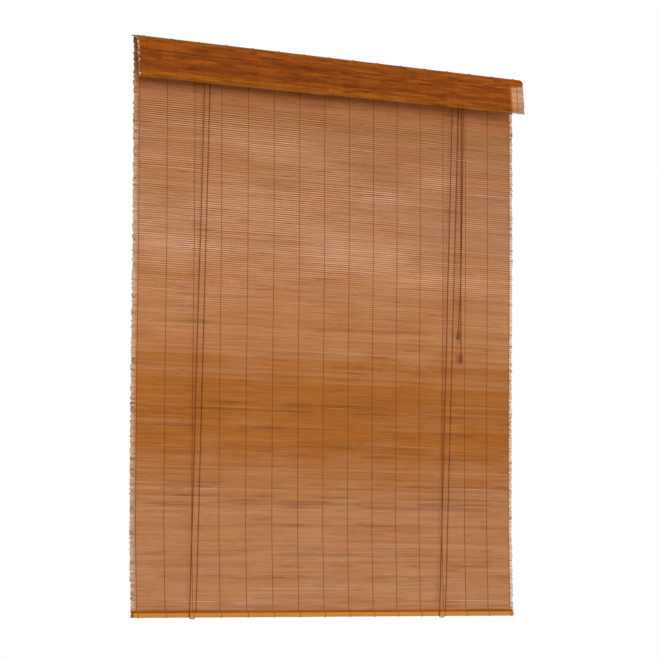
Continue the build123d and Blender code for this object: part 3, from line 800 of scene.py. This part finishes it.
def weave_path(x, levels, place, side, random):
    """Gives the way of one strand: out over each reed and in between it and the next."""
    def beside(level, reach):
        """Gives Y and Z at a distance out from the sheet's middle line."""
        y, z, out_y, out_z = (float(np.ravel(part)[0]) for part in place(np.array([level])))
        return y + out_y * side * reach, z + out_z * side * reach

    path = []
    out = REED_THICKNESS / 2 + REED_BULGE + THREAD_R * 0.8
    for i, level in enumerate(levels):
        sway = (0.35 if i % 2 else -0.35) * THREAD_R * side
        path.append((x + sway, *beside(level, THREAD_R * 0.5)))
        if i < len(levels) - 1:
            drift = float(random.normal(0, THREAD_WAVER))
            path.append((x + drift, *beside((level + levels[i + 1]) / 2, out)))
    return path


def make_threads(name, weave, sides, material, sways, start=-np.inf, end=np.inf):
    """Makes the warp threads of a sheet, one strand on each asked side of the reeds.

    weave is the sheet's places along the reeds, its lines between them and its shape,
    sways says whether the sheet drifts sideways, and start and end are lengths along it.
    """
    base, lines, place = weave
    random = np.random.default_rng(SEED + len(name))
    paths = []
    for x in thread_x:
        levels = [level for level in column_at(base, lines, x) if start <= level <= end]
        for side in sides:
            path = weave_path(x, levels, place, side, random)
            if sways:
                path = [(point[0] + float(sideways(-point[2])), *point[1:]) for point in path]
            paths.append(path)
    return tube_mesh(name, paths, THREAD_R, 4, materials[material])


def even_steps(points, step):
    """Gives points evenly spaced along a line of points."""
    line = np.array(points, float)
    lengths = np.concatenate([[0], np.cumsum(np.linalg.norm(np.diff(line, axis=0), axis=1))])
    count = max(2, int(lengths[-1] / step) + 1)
    places = np.linspace(0, lengths[-1], count)
    return np.stack([np.interp(places, lengths, line[:, i]) for i in range(3)], axis=1)


def spline_points(name, points):
    """Gives the points of the smooth line that a cord's route makes."""
    curve = bpy.data.curves.new(name, "CURVE")
    curve.dimensions = "3D"
    spline = curve.splines.new("NURBS")
    spline.points.add(len(points) - 1)
    for knot, point in zip(spline.points, points):
        knot.co = (*point, 1.0)
    spline.order_u = 3
    spline.use_endpoint_u = True
    spline.resolution_u = 32
    item = bpy.data.objects.new(name, curve)
    bpy.context.scene.collection.objects.link(item)
    bpy.context.view_layer.update()
    mesh = bpy.data.meshes.new_from_object(item)
    line = [tuple(vertex.co) for vertex in mesh.vertices]
    bpy.data.objects.remove(item)
    bpy.data.meshes.remove(mesh)
    return line


def twisted_cord(name, points, material):
    """Makes a laid cord of three strands along a line of points."""
    path = even_steps(points, CORD_STEP)
    return tube_mesh(name, [path.tolist()], CORD_R, 12, material, lobes=3, twist=CORD_TWIST), path


def make_leg(side, place):
    """One straight leg of a lift cord, with the slight waver of a slack cord."""
    node = f"{side}_{place}_cord"
    low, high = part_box(node)
    top_y = (low[1] + CORD_R) if place == "front" else (high[1] - CORD_R)
    bottom_y = (high[1] - CORD_R) if place == "front" else (low[1] + CORD_R)
    top = (high[0] - CORD_R, top_y, high[2])
    bottom = (low[0] + CORD_R, bottom_y, low[2])
    random = np.random.default_rng(SEED + len(node) * 7)
    drift = smooth_rows(random, 2, LEG_POINTS, 9, LEG_WAVER)
    points = []
    for i in range(LEG_POINTS):
        share = i / (LEG_POINTS - 1)
        fade = sin(pi * share)
        points.append(
            (
                top[0] + (bottom[0] - top[0]) * share + drift[0, i] * fade,
                top[1] + (bottom[1] - top[1]) * share + drift[1, i] * fade * 0.3,
                top[2] + (bottom[2] - top[2]) * share,
            )
        )
    material = materials["cord"] if place == "front" else materials["back_cord"]
    item, path = twisted_cord(f"{side}_{place}_lift_cord", points, material)
    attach(item, "head")
    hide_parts(node)
    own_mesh(item)


# Mat and its threads
mat_item, mat_base, mat_lines = make_mat()
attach(mat_item, "head")
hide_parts("mat")
front_start = -rail_low[2] + 1 * MM
front_end = -front_lath_high[2] - 1 * MM
back_end = -back_lath_high[2] - 1 * MM
weave = (mat_base, mat_lines, mat_place)
mat_front_threads = make_threads(
    "mat_front_threads", weave, (1,), "thread", True, front_start, front_end
)
mat_back_threads = make_threads(
    "mat_back_threads", weave, (-1,), "thread", True, 2 * MM, back_end
)
for item in (mat_front_threads, mat_back_threads):
    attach(item, "head")
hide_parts("mat_threads")
lengths = ((mat_item, -mat_low[2]), (mat_front_threads, front_end), (mat_back_threads, back_end))
for item, length in lengths:
    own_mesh(item)

# Valance and its threads
valance_item, valance_base, valance_lines = make_valance()
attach(valance_item, "head")
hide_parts("valance")
weave = (valance_base, valance_lines, valance_place)
valance_thread_item = make_threads("valance_strands", weave, (1, -1), "valance_thread", False)
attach(valance_thread_item, "head")
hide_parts("valance_threads")

# Lift cords
for cord_side in ("left", "right"):
    for leg in ("front", "back"):
        make_leg(cord_side, leg)


def make_pull_cord(name, points):
    """A pull cord, hanging from the lock's roller into its tassel."""
    line = spline_points(f"{name}_route", points)
    item, path = twisted_cord(f"{name}_pull_rope", line, materials["cord"])
    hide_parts(f"{name}_pull_cord")
    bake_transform(item)


# Pull cords: the same routes as the solids, in metres
upper_route = [
    (0.492, -0.005, -0.042),
    (0.482, -0.005, -0.610),
    (0.470, -0.0054, -0.738),
    (0.470, -0.0054, -0.778),
]
lower_route = [
    (0.492, 0.004, -0.042),
    (0.484, 0.0015, -0.610),
    (0.4846, 0.001, -0.806),
    (0.4846, 0.001, -0.846),
]
make_pull_cord("upper", upper_route)
make_pull_cord("lower", lower_route)


def make_stitches():
    """The warp threads' last loops, drawn tight around the front lath."""
    front = front_lath_low[1] - THREAD_R * 0.6
    back = front_lath_high[1] - 0.2 * MM
    top = front_lath_high[2] + THREAD_R * 0.6
    bottom = front_lath_low[2] - THREAD_R * 0.6
    corner = 0.9 * MM
    paths = []
    for x in thread_x:
        paths.append(
            [
                (x, back, top),
                (x, front + corner, top),
                (x, front, top - corner),
                (x, front, bottom + corner),
                (x, front + corner, bottom),
                (x, back, bottom),
            ]
        )
    item = tube_mesh("lath_stitches", paths, THREAD_R, 6, materials["stitch"])
    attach(item, "bottom_bar")


make_stitches()

# Finishes of the solids that stay as they are
finishes = {
    "headrail": "batten",
    "front_lath": "lath",
    "back_lath": "lath",
    "upper_tassel": "tassel",
    "lower_tassel": "tassel",
    "left_pulley_housing": "zinc",
    "lock_housing": "zinc",
    "left_sheave": "brass",
    "right_sheave": "brass",
    "lock_roller": "brass",
    "lock_cam": "brass",
}
cord_words = ("knot", "head_cord", "cord_loop")
for node_name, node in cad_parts.items():
    finish = finishes.get(node_name, "steel")
    if any(word in node_name for word in cord_words):
        finish = "cord"
    node.data.materials.clear()
    node.data.materials.append(materials[finish])


def add_area(name, place, energy):
    """Adds a soft lamp that points at the blind."""
    lamp = bpy.data.lights.new(name, "AREA")
    lamp.size = LAMP_SIZE
    lamp.energy = energy
    item = bpy.data.objects.new(name, lamp)
    item.location = place
    item.rotation_euler = (Vector(LAMP_AIM) - Vector(place)).to_track_quat("-Z", "Y").to_euler()
    bpy.context.scene.collection.objects.link(item)


def make_world():
    """A plain pale surround that lights softly and shows white to the camera."""
    world = bpy.data.worlds.new("studio")
    bpy.context.scene.world = world
    world.use_nodes = True
    tree = world.node_tree
    tree.nodes.clear()
    output = tree.nodes.new("ShaderNodeOutputWorld")
    mix = tree.nodes.new("ShaderNodeMixShader")
    path = tree.nodes.new("ShaderNodeLightPath").outputs
    seen = maths(tree, "MAXIMUM", path["Is Camera Ray"], path["Is Glossy Ray"])
    seen = maths(tree, "MAXIMUM", seen, path["Is Transmission Ray"])
    tree.links.new(seen, mix.inputs["Fac"])
    for socket, strength in ((1, WORLD_LIGHT), (2, WORLD_SEEN)):
        plain = tree.nodes.new("ShaderNodeBackground")
        plain.inputs["Color"].default_value = (1, 1, 1, 1)
        plain.inputs["Strength"].default_value = strength
        tree.links.new(plain.outputs[0], mix.inputs[socket])
    tree.links.new(mix.outputs[0], output.inputs["Surface"])


def make_floor():
    """A pale floor, low enough for the tassels when the blind is raised."""
    signs = ((-1, -1), (1, -1), (1, 1), (-1, 1))
    corners = [(x * FLOOR_HALF, y * FLOOR_HALF, FLOOR_HEIGHT) for x, y in signs]
    material, tree, shader = new_material("floor", FLOOR_COLOUR, 0.9)
    tone = stretched_noise(tree, (2, 2, 2), 2.0)
    tint = ramp(tree, tone, [(0.3, rgba(FLOOR_DARK)), (0.7, rgba(FLOOR_COLOUR))])
    tree.links.new(tint, shader.inputs["Base Color"])
    item = mesh_object("floor", corners, [(0, 1, 2, 3)], [material])


make_world()
make_floor()
for lamp_name, lamp_place, lamp_energy in LAMPS:
    add_area(lamp_name, lamp_place, lamp_energy)

camera =bpy.data.cameras.new("camera")
camera.sensor_width = SENSOR_MM
camera.lens = FOCAL_PIXELS / IMAGE_PIXELS * SENSOR_MM
camera.clip_end = 200
camera_item = bpy.data.objects.new("camera", camera)
camera_item.location = CAMERA_PLACE
camera_item.rotation_euler = (pi / 2 + CAMERA_PITCH, 0, -CAMERA_YAW)
bpy.context.scene.collection.objects.link(camera_item)
bpy.context.scene.camera = camera_item

bpy.context.scene.view_settings.view_transform = "Standard"
